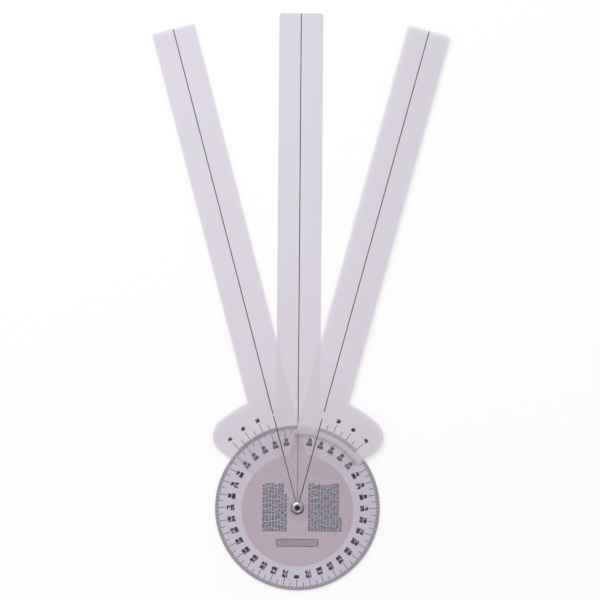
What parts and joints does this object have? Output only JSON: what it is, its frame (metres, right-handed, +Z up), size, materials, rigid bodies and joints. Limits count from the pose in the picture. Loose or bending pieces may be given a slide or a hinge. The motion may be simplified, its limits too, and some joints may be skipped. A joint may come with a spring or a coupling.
{
  "type": "three-arm chart protractor",
  "caption": "Frosted plastic protractor disc with a fixed centre arm and long swinging side arms on one hollow eyelet, for plotting angles on a chart.",
  "frame": {"origin": "on the eyelet's axis at the underside of the centre arm, which is the face that rests on the chart", "axes": "+Y along the centre arm towards its tip, +Z up out of the eyelet's head, +X to the right of the centre arm"},
  "size_m": [0.2288, 0.4445, 0.0053],
  "materials": {
    "arm_sheet": "translucent frosted vinyl sheet",
    "disc_sheet": "translucent frosted vinyl sheet",
    "film": "clear adhesive film",
    "ink": "screen-printed dark ink",
    "metal": "bright nickel plate on brass"
  },
  "bodies": {
    "base": {"centre_arm": "arm_sheet", "bond_film": "film", "protractor_disc": "disc_sheet", "eyelet": "metal", "head_washer": "metal", "centre_hairline": "ink", "disc_graduations": "ink", "disc_numerals": "ink", "note_lines": "ink", "name_frame": "ink"},
    "left": {"left_arm": "arm_sheet", "left_hairline": "ink", "left_scale": "ink", "left_numerals": "ink"},
    "right": {"right_arm": "arm_sheet", "right_hairline": "ink", "right_scale": "ink", "right_numerals": "ink"}
  },
  "joints": [
    {"name": "left_swing", "type": "hinge", "parent": "base", "child": "left", "pos_m": [0, 0, 0], "axis": [0, 0, 1], "continuous": true},
    {"name": "right_swing", "type": "hinge", "parent": "base", "child": "right", "pos_m": [0, 0, 0], "axis": [0, 0, 1], "continuous": true}
  ]
}
